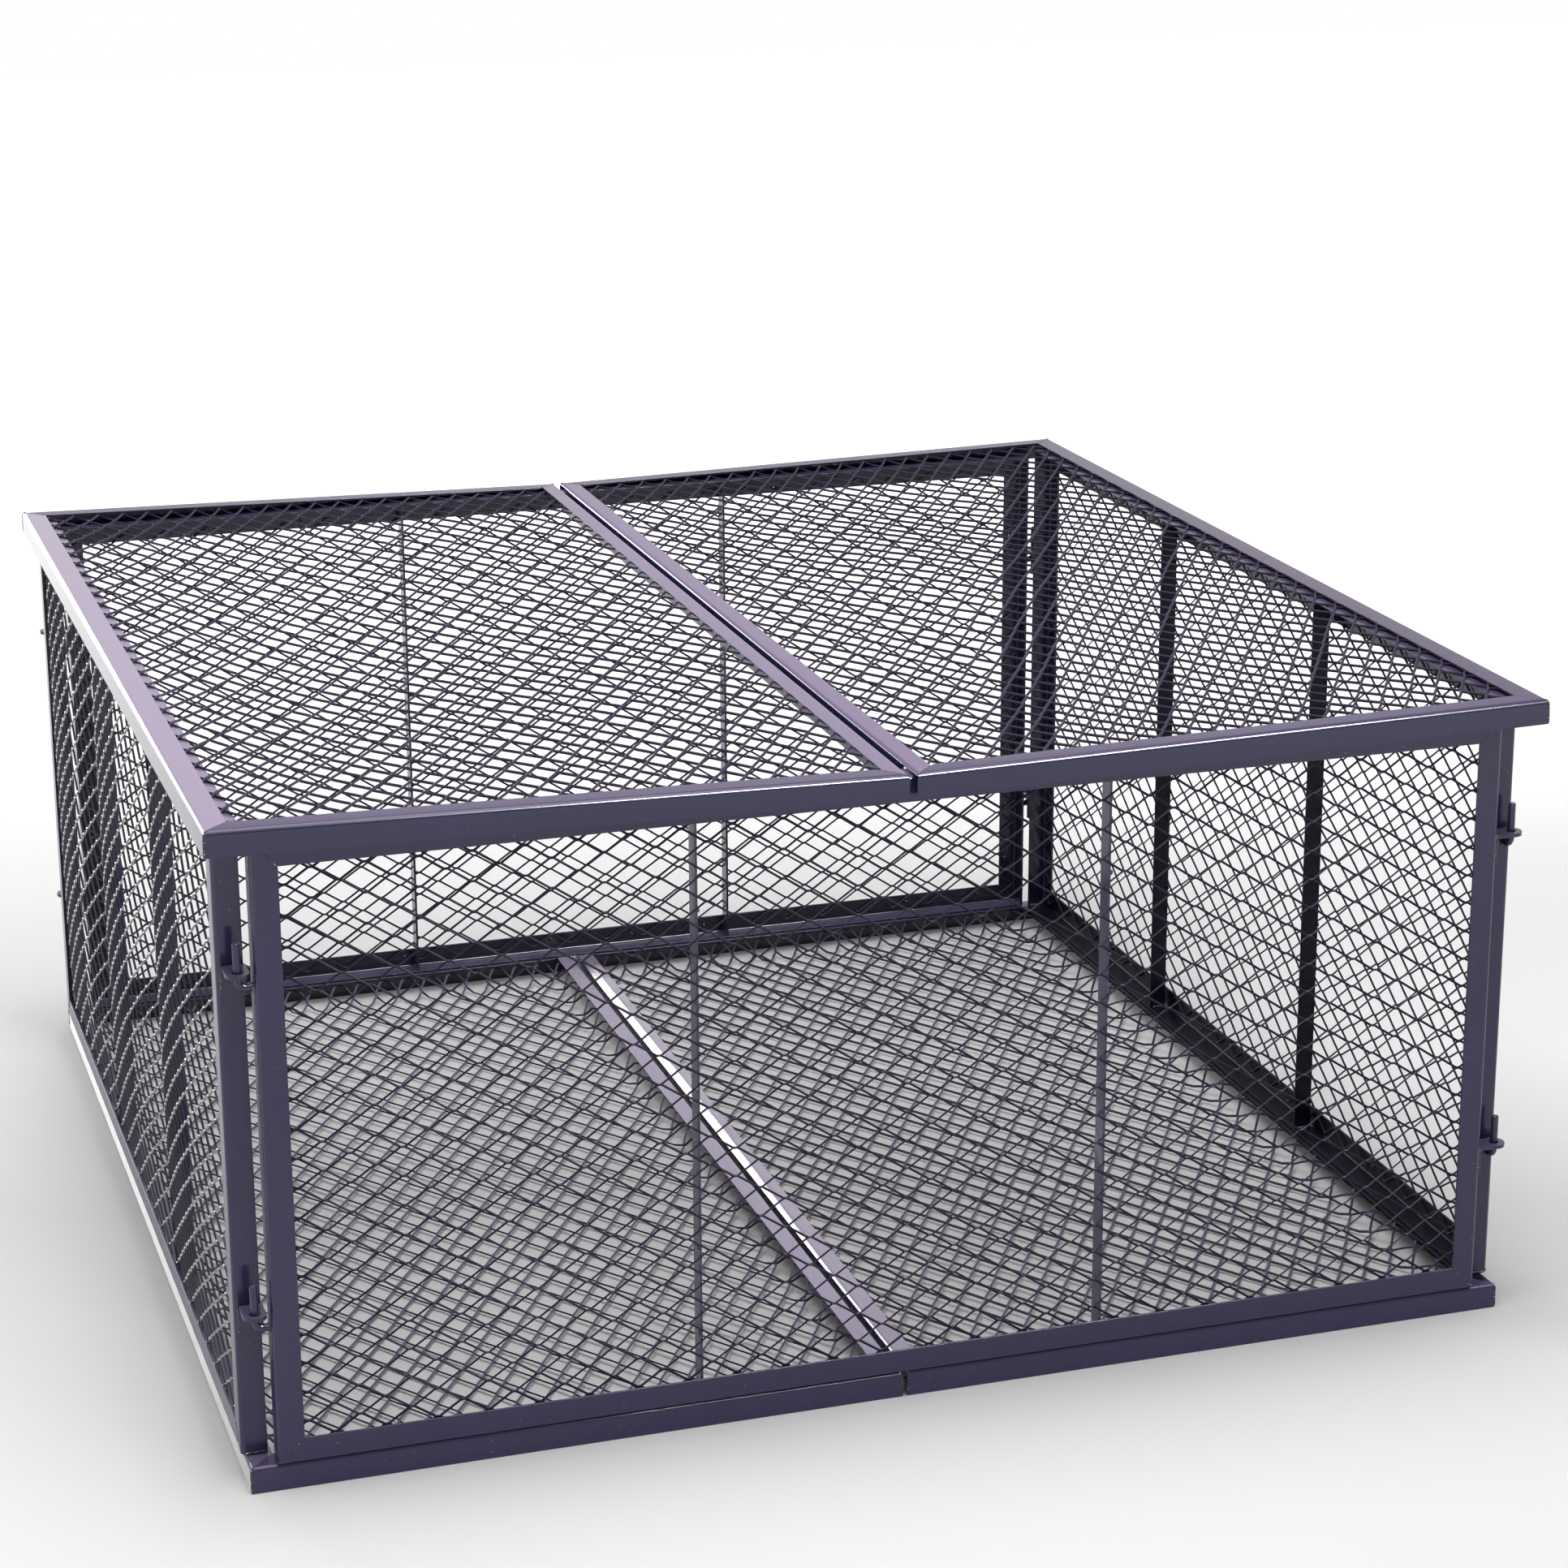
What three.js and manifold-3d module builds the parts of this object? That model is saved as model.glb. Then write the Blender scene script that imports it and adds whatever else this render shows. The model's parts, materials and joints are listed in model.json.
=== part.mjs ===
// Square compost bin made of expanded metal in welded angle frames.
// Four wall panels hook into each other at the corners with bent pins and eyes.
// The ring of walls stands on a floor in two halves, and a lid in two halves lies on top.
// Millimetres, +Z up, the front faces -Y. The origin is the centre of the footprint.

import * as THREE from 'three';
import { mergeGeometries, mergeVertices } from 'three/addons/utils/BufferGeometryUtils.js';
import Module from 'manifold-3d';

const wasm = await Module();
wasm.setup();

// Sheet metal and fits
const sheet = 2;
const outerBend = 4;
const seatGap = 0.3;
const mitreGap = 0.3;
const netThickness = 1.5;
const flangeWidth = 20;
const bendSteps = 4;

// Wall panels, measured from the centre of the bin
const wallFace = 516;
const pinEndInset = 24;
const eyeEndInset = 25;
const sideWallHeight = 494;
const frontWallStep = 9;
const barThickness = 2;
const barInset = 0.2;
const barsPerWall = 2;

// Floor trays
const floorInset = 3;
const trayHeight = 21;
const floorCentreGap = 4;

// Lid halves
const lidSideClearance = 7;
const lidFrameHeight = 20;
const lidCentreGap = 5;
const centreFlangeWidth = 16.5;
const notchClearance = 6;

// Expanded metal nets
const netMargin = 5;
const netBorderOverlap = 1;
const netStrand = 4;
const wallNetColumns = 4;
const wallNetRows = 3;
const coverNetColumns = 3;
const coverNetRows = 4;

// Corner hinges: a bent pin on one panel stands in an eye plate on the next
const lowerEyeHeight = 140;
const upperEyeHeight = 405;
const pinDiameter = 6;
const pinReach = 11.5;
const pinBend = 6;
const pinAbovePlate = 23;
const pinChamfer = 1;
const plateAbovePinLeg = 8.5;
const pinSides = 12;
const pinBendSteps = 5;
const plateThickness = 3;
const plateWidth = 17.5;
const plateReach = 18;
const eyeHole = 8;
const eyeLegDrop = 20;
const eyeSegments = 12;

// Colours
const steelColour = 0x3f4160;
const netColour = 0x35374f;
const hingeColour = 0x4a4b66;

// Heights of the walls above the ground
const frontWallHeight = sideWallHeight - frontWallStep;
const wallBottom = trayHeight + seatGap;
const sideWallTop = wallBottom + sideWallHeight;
const frontWallTop = wallBottom + frontWallHeight;

// Ends of every wall, and half the length of the floor's and the lid's sides
const pinEnd = wallFace - pinEndInset;
const eyeEnd = wallFace - eyeEndInset;
const floorHalfSize = wallFace - floorInset;
const lidHalfSize = wallFace + lidSideClearance + sheet;

// Heights of the eye plates' undersides above the ground, on every corner
const eyeHeights = { lower: lowerEyeHeight, upper: upperEyeHeight };

// Depths of the pins and eyes behind their own panel's face, so that each pin stands in the middle of its eye
const pinDepth = wallFace - eyeEnd - plateReach;
const eyeDepth = wallFace - pinEnd - pinReach;

const bin = new THREE.Group();
bin.name = 'compost_bin';

// Adds one closed piece with its own material.
function addPiece(parent, name, geometry, colour) {
  const material = new THREE.MeshStandardMaterial({ color: colour, roughness: 0.45, metalness: 0.3 });
  const mesh = new THREE.Mesh(geometry, material);
  mesh.name = name;
  parent.add(mesh);
}

// Turns a geometry into a solid that can be cut or joined.
function toSolid(geometry) {
  const bare = geometry.clone();
  bare.deleteAttribute('normal');
  bare.deleteAttribute('uv');
  const merged = mergeVertices(bare);
  const vertProperties = new Float32Array(merged.attributes.position.array);
  const triVerts = new Uint32Array(merged.index.array);
  return new wasm.Manifold(new wasm.Mesh({ numProp: 3, vertProperties, triVerts }));
}

// Turns a solid back into a geometry.
function toGeometry(solid) {
  const result = solid.getMesh();
  const geometry = new THREE.BufferGeometry();
  geometry.setAttribute('position', new THREE.BufferAttribute(result.vertProperties, result.numProp));
  geometry.setIndex(new THREE.BufferAttribute(result.triVerts, 1));
  return geometry;
}

// Section of a folded angle. x runs inward from the frame's outer edge, y runs from the face into the depth.
function angleSection(faceWidth, edgeDepth) {
  const innerBend = outerBend - sheet;
  const points = [new THREE.Vector2(faceWidth, sheet)];
  for (let step = 0; step <= bendSteps; step += 1) {
    const angle = (Math.PI / 2) * (step / bendSteps);
    const x = outerBend - innerBend * Math.sin(angle);
    const y = outerBend - innerBend * Math.cos(angle);
    points.push(new THREE.Vector2(x, y));
  }
  points.push(new THREE.Vector2(sheet, edgeDepth));
  points.push(new THREE.Vector2(0, edgeDepth));
  for (let step = bendSteps; step >= 0; step -= 1) {
    const angle = (Math.PI / 2) * (step / bendSteps);
    const x = outerBend - outerBend * Math.sin(angle);
    const y = outerBend - outerBend * Math.cos(angle);
    points.push(new THREE.Vector2(x, y));
  }
  points.push(new THREE.Vector2(faceWidth, 0));
  return points;
}

// A rail of angle, mitred at both ends. Its outer edge is centred on the origin and runs along x.
// y runs inward across the face and z into the depth.
function railGeometry(length, faceWidth, edgeDepth) {
  const section = angleSection(faceWidth, edgeDepth);
  const inset = (mitreGap / 2) * Math.SQRT2;
  const positions = [];
  for (const side of [-1, 1]) {
    for (const point of section) {
      const along = side * (length / 2 - point.x - inset);
      positions.push(along, point.x, point.y);
    }
  }
  const count = section.length;
  const indices = [];
  for (let corner = 0; corner < count; corner += 1) {
    const next = (corner + 1) % count;
    indices.push(corner, next, count + next);
    indices.push(corner, count + next, count + corner);
  }
  for (const cap of THREE.ShapeUtils.triangulateShape(section, [])) {
    const turnsLeft = THREE.ShapeUtils.area(cap.map((corner) => section[corner])) > 0;
    const [first, second, third] = turnsLeft ? cap : cap.slice().reverse();
    indices.push(third, second, first);
    indices.push(count + first, count + second, count + third);
  }
  return closedGeometry(positions, indices);
}

// A geometry from plain lists of coordinates and corner numbers.
function closedGeometry(positions, indices) {
  const geometry = new THREE.BufferGeometry();
  geometry.setAttribute('position', new THREE.Float32BufferAttribute(positions, 3));
  geometry.setIndex(indices);
  return geometry;
}

// Places a rail on one edge of a rectangular frame, given the outer edge's middle and the inward and depth directions.
function placeRail(geometry, middle, inward, depth) {
  const along = new THREE.Vector3().crossVectors(inward, depth);
  const matrix = new THREE.Matrix4().makeBasis(along, inward, depth);
  matrix.setPosition(middle);
  return geometry.applyMatrix4(matrix);
}

// A flat net in the XY plane: a border strip with diamond gaps, halves at the edges and quarters at the corners.
// The gaps fill the window, and the outline is the sheet that is held behind the frame.
function netGeometry(outline, window, columns, rows) {
  const outlineWidth = outline.right - outline.left;
  const outlineHeight = outline.top - outline.bottom;
  const sheetMetal = new THREE.BoxGeometry(outlineWidth, outlineHeight, netThickness);
  sheetMetal.translate((outline.left + outline.right) / 2, (outline.bottom + outline.top) / 2, 0);
  const halfWidth = (window.right - window.left) / columns / 2;
  const halfHeight = (window.top - window.bottom) / rows / 2;
  const side = Math.hypot(halfWidth, halfHeight);
  const tipX = halfWidth - ((netStrand / 2) * side) / halfHeight;
  const tipY = halfHeight - ((netStrand / 2) * side) / halfWidth;
  const gaps = [];
  for (let i = 0; i <= columns * 2; i += 1) {
    for (let j = 0; j <= rows * 2; j += 1) {
      if (i % 2 === j % 2) {
        const x = window.left + i * halfWidth;
        const y = window.bottom + j * halfHeight;
        const shape = new THREE.Shape(gapCorners(x, y, tipX, tipY, window));
        const gap = new THREE.ExtrudeGeometry(shape, { depth: 2 * netThickness, bevelEnabled: false });
        gap.translate(0, 0, -netThickness);
        gaps.push(gap);
      }
    }
  }
  return toGeometry(toSolid(sheetMetal).subtract(toSolid(mergeGeometries(gaps))));
}

// Corners of one diamond gap, cut off where it meets the window's edges.
function gapCorners(x, y, tipX, tipY, window) {
  const atLeft = x < window.left + tipX / 2;
  const atRight = x > window.right - tipX / 2;
  const atBottom = y < window.bottom + tipY / 2;
  const atTop = y > window.top - tipY / 2;
  const corners = [];
  if (!atRight) {
    corners.push(new THREE.Vector2(x + tipX, y));
  }
  if (!atTop) {
    corners.push(new THREE.Vector2(x, y + tipY));
  }
  if (!atLeft) {
    corners.push(new THREE.Vector2(x - tipX, y));
  }
  if (!atBottom) {
    corners.push(new THREE.Vector2(x, y - tipY));
  }
  if ((atLeft || atRight) && (atBottom || atTop)) {
    corners.push(new THREE.Vector2(x, y));
  }
  return corners;
}

// One bent pin: its leg starts inside the edge flange at x = 0, leaves it along -x, and its shank stands up along z.
function pinGeometry() {
  const radius = pinDiameter / 2;
  const shankTop = plateAbovePinLeg + plateThickness + pinAbovePlate;
  const frames = [];
  frames.push({ x: sheet / 2, z: 0, turn: 0, radius });
  for (let step = 0; step <= pinBendSteps; step += 1) {
    const turn = (Math.PI / 2) * (step / pinBendSteps);
    const x = -pinReach + pinBend - pinBend * Math.sin(turn);
    const z = pinBend - pinBend * Math.cos(turn);
    frames.push({ x, z, turn, radius });
  }
  frames.push({ x: -pinReach, z: shankTop - pinChamfer, turn: Math.PI / 2, radius });
  frames.push({ x: -pinReach, z: shankTop, turn: Math.PI / 2, radius: radius - pinChamfer });
  const positions = [];
  for (const frame of frames) {
    for (let side = 0; side < pinSides; side += 1) {
      const angle = (2 * Math.PI * side) / pinSides;
      const across = frame.radius * Math.cos(angle);
      const up = frame.radius * Math.sin(angle);
      positions.push(frame.x + up * Math.sin(frame.turn), across, frame.z + up * Math.cos(frame.turn));
    }
  }
  const indices = [];
  for (let ring = 0; ring < frames.length - 1; ring += 1) {
    for (let side = 0; side < pinSides; side += 1) {
      const next = (side + 1) % pinSides;
      const near = ring * pinSides;
      const far = near + pinSides;
      indices.push(near + side, far + next, near + next);
      indices.push(near + side, far + side, far + next);
    }
  }
  const lastRing = (frames.length - 1) * pinSides;
  for (let side = 1; side < pinSides - 1; side += 1) {
    indices.push(0, side, side + 1);
    indices.push(lastRing, lastRing + side + 1, lastRing + side);
  }
  return closedGeometry(positions, indices);
}

// One eye: a plate with a round end and a hole, and a leg that hangs down against the panel's edge.
// The panel's edge is at x = 0, the plate leaves it along +x and its underside is at z = 0.
function eyeGeometry() {
  const round = plateWidth / 2;
  const plate = new THREE.Shape();
  plate.moveTo(seatGap, -round);
  plate.lineTo(plateReach, -round);
  plate.absarc(plateReach, 0, round, -Math.PI / 2, Math.PI / 2, false);
  plate.lineTo(seatGap, round);
  plate.closePath();
  const hole = new THREE.Path();
  hole.absarc(plateReach, 0, eyeHole / 2, 0, 2 * Math.PI, true);
  plate.holes.push(hole);
  const options = { depth: plateThickness, bevelEnabled: false, curveSegments: eyeSegments };
  const plateSolid = toSolid(new THREE.ExtrudeGeometry(plate, options));
  const legHeight = eyeLegDrop + plateThickness;
  const leg = new THREE.BoxGeometry(plateThickness, plateWidth, legHeight);
  leg.translate(seatGap + plateThickness / 2, 0, legHeight / 2 - eyeLegDrop);
  return toGeometry(plateSolid.add(toSolid(leg)));
}

// One wall panel in the front wall's place: its face at y = -wallFace, left to right along x.
function wallPanel(name, height, quarterTurns) {
  const panel = new THREE.Group();
  panel.rotation.z = (Math.PI / 2) * quarterTurns;
  const width = pinEnd + eyeEnd;
  const middleX = (eyeEnd - pinEnd) / 2;
  const middleZ = wallBottom + height / 2;
  const top = wallBottom + height;
  const inward = new THREE.Vector3(0, 1, 0);
  const up = new THREE.Vector3(0, 0, 1);
  const right = new THREE.Vector3(1, 0, 0);
  const edges = [
    ['top_rail', width, new THREE.Vector3(middleX, -wallFace, top), up.clone().negate()],
    ['bottom_rail', width, new THREE.Vector3(middleX, -wallFace, wallBottom), up],
    ['left_upright', height, new THREE.Vector3(-pinEnd, -wallFace, middleZ), right],
    ['right_upright', height, new THREE.Vector3(eyeEnd, -wallFace, middleZ), right.clone().negate()],
  ];
  for (const [edge, length, middle, across] of edges) {
    let rail = placeRail(railGeometry(length, flangeWidth, flangeWidth), middle, across, inward);
    if (edge === 'left_upright') {
      rail = weldPins(rail);
    }
    addPiece(panel, `${name}_${edge}`, rail, steelColour);
  }
  const outline = {
    left: -pinEnd + netMargin,
    right: eyeEnd - netMargin,
    bottom: wallBottom + netMargin,
    top: top - netMargin,
  };
  const window = {
    left: -pinEnd + flangeWidth - netBorderOverlap,
    right: eyeEnd - flangeWidth + netBorderOverlap,
    bottom: wallBottom + flangeWidth - netBorderOverlap,
    top: top - flangeWidth + netBorderOverlap,
  };
  const net = netGeometry(outline, window, wallNetColumns, wallNetRows);
  net.rotateX(Math.PI / 2);
  net.translate(0, -wallFace + sheet + seatGap + netThickness / 2, 0);
  addPiece(panel, `${name}_mesh`, net, netColour);
  const barFront = sheet + seatGap + netThickness + seatGap;
  const barDepth = flangeWidth - barFront - barInset;
  const barLength = height - 2 * sheet - 2 * seatGap;
  for (let number = 1; number <= barsPerWall; number += 1) {
    const bar = new THREE.BoxGeometry(barThickness, barDepth, barLength);
    const x = -pinEnd + (width * number) / (barsPerWall + 1);
    bar.translate(x, -wallFace + barFront + barDepth / 2, middleZ);
    addPiece(panel, `${name}_bar_${number}`, bar, steelColour);
  }
  for (const [place, plateHeight] of Object.entries(eyeHeights)) {
    const eye = eyeGeometry();
    eye.translate(eyeEnd, -wallFace + eyeDepth, plateHeight);
    addPiece(panel, `${name}_${place}_eye`, eye, hingeColour);
  }
  bin.add(panel);
}

// Welds the two bent pins to the outside of a left upright's edge flange.
function weldPins(upright) {
  let solid = toSolid(upright);
  for (const plateHeight of Object.values(eyeHeights)) {
    const pin = pinGeometry();
    pin.translate(-pinEnd, -wallFace + pinDepth, plateHeight - plateAbovePinLeg);
    solid = solid.add(toSolid(pin));
  }
  return toGeometry(solid);
}

wallPanel('front_wall', frontWallHeight, 0);
wallPanel('right_wall', sideWallHeight, 1);
wallPanel('back_wall', frontWallHeight, 2);
wallPanel('left_wall', sideWallHeight, 3);

// One half of the floor or the lid, lying flat with its top at z = 0 and its outer edge at x = -halfSize.
// side is -1 for the left half and 1 for the right half.
function coverHalf(cover, name, side, halfSize, centreGap, frameHeight, notchLength) {
  const width = halfSize - centreGap / 2;
  const length = 2 * halfSize;
  const middleX = side * (halfSize - width / 2);
  const outward = new THREE.Vector3(side, 0, 0);
  const forward = new THREE.Vector3(0, 1, 0);
  const down = new THREE.Vector3(0, 0, -1);
  const edges = [
    ['front_rail', width, flangeWidth, new THREE.Vector3(middleX, -halfSize, 0), forward],
    ['back_rail', width, flangeWidth, new THREE.Vector3(middleX, halfSize, 0), forward.clone().negate()],
    ['outer_rail', length, flangeWidth, outward.clone().multiplyScalar(halfSize), outward.clone().negate()],
    ['centre_rail', length, centreFlangeWidth, outward.clone().multiplyScalar(centreGap / 2), outward],
  ];
  for (const [edge, run, faceWidth, middle, across] of edges) {
    let rail = railGeometry(run, faceWidth, frameHeight);
    rail = placeRail(rail, middle, across, down);
    if (edge === 'centre_rail' && notchLength > 0) {
      rail = notchEnds(rail, middle.x, halfSize, frameHeight, notchLength);
    }
    addPiece(cover, `${name}_${edge}`, rail, steelColour);
  }
  const outerEdge = side * (halfSize - netMargin);
  const centreEdge = side * (centreGap / 2 + netMargin);
  const outline = {
    left: Math.min(outerEdge, centreEdge),
    right: Math.max(outerEdge, centreEdge),
    bottom: -halfSize + netMargin,
    top: halfSize - netMargin,
  };
  const outerWindow = side * (halfSize - flangeWidth + netBorderOverlap);
  const centreWindow = side * (centreGap / 2 + centreFlangeWidth - netBorderOverlap);
  const window = {
    left: Math.min(outerWindow, centreWindow),
    right: Math.max(outerWindow, centreWindow),
    bottom: -halfSize + flangeWidth - netBorderOverlap,
    top: halfSize - flangeWidth + netBorderOverlap,
  };
  const net = netGeometry(outline, window, coverNetColumns, coverNetRows);
  net.translate(0, 0, -sheet - seatGap - netThickness / 2);
  addPiece(cover, `${name}_mesh`, net, netColour);
}

// Cuts the hanging flange of a centre rail away at both ends, where the rail crosses the front and back walls.
function notchEnds(rail, middleX, halfSize, frameHeight, notchLength) {
  let solid = toSolid(rail);
  for (const end of [-1, 1]) {
    const cut = new THREE.BoxGeometry(2 * centreFlangeWidth, 2 * notchLength, frameHeight);
    cut.translate(middleX, end * halfSize, -sheet - frameHeight / 2);
    solid = solid.subtract(toSolid(cut));
  }
  return toGeometry(solid);
}

// The floor halves lie flat on the ground.
for (const [name, side] of [['floor_left', -1], ['floor_right', 1]]) {
  const tray = new THREE.Group();
  tray.position.z = trayHeight;
  coverHalf(tray, name, side, floorHalfSize, floorCentreGap, trayHeight, 0);
  bin.add(tray);
}

// Each lid half rests on a side wall's inner top edge and on the lower front and back walls,
// so it slopes down to the middle of the bin.
const lidNetDepth = sheet + seatGap + netThickness;
const restX = wallFace - flangeWidth;
const restHeight = sideWallTop + seatGap;
const centreHeight = frontWallTop + seatGap;
const lidTilt = Math.asin((restHeight - centreHeight) / (restX - lidCentreGap / 2));
const notchLength = lidHalfSize - wallFace + flangeWidth + notchClearance;
for (const [name, side] of [['lid_left', -1], ['lid_right', 1]]) {
  const tilted = new THREE.Group();
  tilted.position.set(side * restX, 0, restHeight);
  tilted.rotation.y = -side * lidTilt;
  const lid = new THREE.Group();
  lid.position.set(-side * restX, 0, lidNetDepth);
  coverHalf(lid, name, side, lidHalfSize, lidCentreGap, lidFrameHeight, notchLength);
  tilted.add(lid);
  bin.add(tilted);
}

export default bin;
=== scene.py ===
import json
import math

import bpy
import numpy as np
from mathutils import Euler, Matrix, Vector

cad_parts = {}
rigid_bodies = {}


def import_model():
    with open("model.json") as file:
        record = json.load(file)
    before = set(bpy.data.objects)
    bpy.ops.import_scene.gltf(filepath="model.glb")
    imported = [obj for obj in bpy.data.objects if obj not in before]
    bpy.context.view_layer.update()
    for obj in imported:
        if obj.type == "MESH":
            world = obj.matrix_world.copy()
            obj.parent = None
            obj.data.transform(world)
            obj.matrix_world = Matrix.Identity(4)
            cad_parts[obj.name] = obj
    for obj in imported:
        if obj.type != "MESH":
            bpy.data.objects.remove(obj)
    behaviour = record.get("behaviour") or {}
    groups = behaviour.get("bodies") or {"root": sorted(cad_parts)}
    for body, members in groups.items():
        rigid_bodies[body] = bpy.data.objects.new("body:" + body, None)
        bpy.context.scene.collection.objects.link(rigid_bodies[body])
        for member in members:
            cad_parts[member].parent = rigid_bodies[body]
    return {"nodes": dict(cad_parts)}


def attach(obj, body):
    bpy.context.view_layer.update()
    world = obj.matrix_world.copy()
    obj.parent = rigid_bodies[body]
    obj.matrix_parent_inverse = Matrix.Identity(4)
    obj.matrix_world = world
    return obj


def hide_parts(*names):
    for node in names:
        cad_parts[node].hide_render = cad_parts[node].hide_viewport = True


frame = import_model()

# The empty scene's own camera, light and cube
for old in list(bpy.data.objects):
    if old.type in {"CAMERA", "LIGHT"} or old.name == "Cube":
        bpy.data.objects.remove(old, do_unlink=True)
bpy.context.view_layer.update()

# The scene is in metres. Lengths in the sections on sizes, nets and welds are in millimetres
MM = 0.001

# Sizes that the CAD model gives. LID_REST_DEPTH is how far below its top a lid half rests on the walls
SHEET = 2.0
FLANGE = 20.0
CENTRE_FLANGE = 16.5
WALL_FACE = 516.0
WALL_SPAN = (-492.0, 491.0)
WALL_BOTTOM = 21.3
WALL_TOP = {"front_wall": 506.3, "right_wall": 515.3, "back_wall": 506.3, "left_wall": 515.3}
WALL_TURN = {"front_wall": 0, "right_wall": 1, "back_wall": 2, "left_wall": 3}
WALL_BAYS = 3
EYE_HEIGHTS = (140.0, 405.0)
EYE_DEPTH = 12.5
EYE_PLATE_WIDTH = 17.5
PIN_DEPTH = 7.0
PIN_LEG_DROP = 8.5
LID_HALF = 525.0
LID_GAP = 5.0
LID_HEIGHT = 20.0
LID_REST_X = 496.0
LID_REST_Z = 515.6
LID_REST_DEPTH = 3.8
LID_CENTRE_Z = 506.6
LID_TILT = math.asin((LID_REST_Z - LID_CENTRE_Z) / (LID_REST_X - LID_GAP / 2))
FLOOR_HALF = 513.0
FLOOR_GAP = 4.0
FLOOR_TOP = 21.0
SIDES = (("left", -1), ("right", 1))

# Soft edges of the solids
EDGE_SOFTNESS = 0.4
MERGE_DISTANCE = 0.02
SHARP_BEND = math.radians(50)

# Expanded metal: diamonds LONG_WAY by SHORT_WAY, cut from strands STRAND wide and GAUGE thick.
# BOND is half the length over which two strands meet, and LAP how far they stand apart there, 1 for side by side
LONG_WAY = 39.0
SHORT_WAY = 23.2
STRAND = 1.7
GAUGE = 1.2
BOND = 1.0
LAP = 0.3
# The share of its run over which a strand bends at a bond, and where the path has corners, inside and past the bond
BEND = 0.06
CORNER_INSIDE = 0.5
CORNER_PAST = 0.8
# How far the strands stand off their places, and how far they sway over what length
SCATTER = 0.12
SWAY = 0.25
SWAY_LENGTH = 97
# A net ends NET_INSET short of its frame's outer edge
NET_INSET = 5
# Tilt of the strands: in full, the share of it beside the frame, and the share that TILT_EASE adds to that
TILT_EASE = 25
WALL_NET_TILT = (math.radians(42), 0.55, 0.45)
LID_NET_TILT = (math.radians(50), 0.6, 0.4)
FLOOR_NET_TILT = (math.radians(42), 0.5, 0.2)
# The nets' middles behind the angle's inner faces, and how much stouter than the plain gauge their strands are
WALL_NET_DEPTH = 1.7
LID_NET_DEPTH = 0.55
FLOOR_NET_DEPTH = 1.9
WALL_NET_STOUT = 0.93
LID_NET_STOUT = 1.12
FLOOR_NET_STOUT = 1.1
# Where the nets' diamonds start: along the long way, and in from the frame's outer edge
WALL_NET_START = (0.0, 3)
LID_NET_START = (0.0, 6)
FLOOR_NET_START = (7.0, 6)
# The wall nets are tacked to the bars, so they swell in three bays, by so many millimetres. The lower the powers,
# the flatter the tops of the swellings are, along and up
WALL_BULGE = {"front_wall": 2.0, "right_wall": 4.5, "back_wall": 3.0, "left_wall": 9.0}
BULGE_POWERS = (0.75, 0.6)
# The left lid net sags toward its outer rail, and the right one toward its front and back. LID_POWERS say how
# flat both are in their middles, along and out, and SAG_SKEW how far out the left one hangs
LEFT_SAG = -13.0
LEFT_SETTLE = -1.5
SAG_SKEW = 2.1
RIGHT_SAG = -7.0
RIGHT_WAVE = 7.5
RIGHT_CREST = 0.52
RIGHT_WAVE_OUT = (0.15, 0.8)
LID_POWERS = (0.5, 0.7)
# Small waves in the lid and floor nets, and the angles that they run through, along and out
LEFT_RIPPLE = 2.5
LEFT_RIPPLE_ANGLES = (9.0, 2.0)
RIGHT_RIPPLE = 1.5
RIGHT_RIPPLE_ANGLES = (3.0, 14.0)
FLOOR_WAVE = 0.8
FLOOR_WAVE_ANGLES = (5, 7)
FLOOR_RIPPLE = 0.5
FLOOR_RIPPLE_ANGLES = (11, 3)
# The floor nets drop almost to the ground over FLOOR_HANG, and CENTRE_STEEPER times as fast beside the centre rails
FLOOR_NET_DROP = 13.3
FLOOR_HANG = 22
CENTRE_STEEPER = 2.2

# Radii of the weld beads: on the mitres' faces, round the corners' outsides, in their insides, at the notches,
# beside the eye plates, round the pins' feet and beside the bars
FACE_BEAD = 0.9
CORNER_BEAD = 0.95
WALL_INNER_BEAD = 1.3
COVER_INNER_BEAD = 1.2
NOTCH_BEAD = 1.0
EYE_BEAD = 1.1
PIN_BEAD = 0.95
BAR_BEAD = 1.2
# How a bead is built: the steps along it, its sides, the length and height of its ripples, its lumps, how far its
# path wanders and how thin it ends. ASKEW is a way that no bead runs
BEAD_STEP = 0.8
BEAD_SIDES = 8
BEAD_ANGLES = [2 * math.pi * k / BEAD_SIDES for k in range(BEAD_SIDES)]
RIPPLE = 2.4
RIPPLE_HEIGHT = 0.14
LUMPS = 0.07
WANDER = 0.08
THIN_END = 0.02
ASKEW = (0.31, 0.52, 0.79)
# Paths of the corners' beads, as insets from the corner and depths behind the wall's face
FACE_PATH = ((1.0, 0.75), (19.6, 0.55))
CORNER_PATH = ((0.9, 1.2), (0.6, 4), (0.5, 19.5))
INNER_PATH = ((2.3, 3.0), (2.3, 19.0))
# Paths of a cover's beads, as insets from its corners and levels from its top, or from its foot at their ends
COVER_FACE_START = (1.0, -0.75)
COVER_FACE_END = -0.55
COVER_CORNER_START = (0.9, -1.2)
COVER_CORNER_BEND = (0.6, -4)
COVER_CORNER_END = (0.5, 0.8)
COVER_INNER_START = (2.3, -3.0)
COVER_INNER_END = (2.3, 1.2)
NOTCH_INSET = 20.5
NOTCH_PATH = ((1.5, -1.8), (12, -2.2))
# How far the beads on a cover's mitres reach, at its outer rail and at its centre rail
OUTER_MITRE = 19.6
CENTRE_MITRE = 16.2
# Beads next to another panel are sunk: at the walls' feet, and on the tops of the floor trays
WALL_FOOT_SUNK = 0.8
TRAY_SUNK = 0.3
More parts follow.
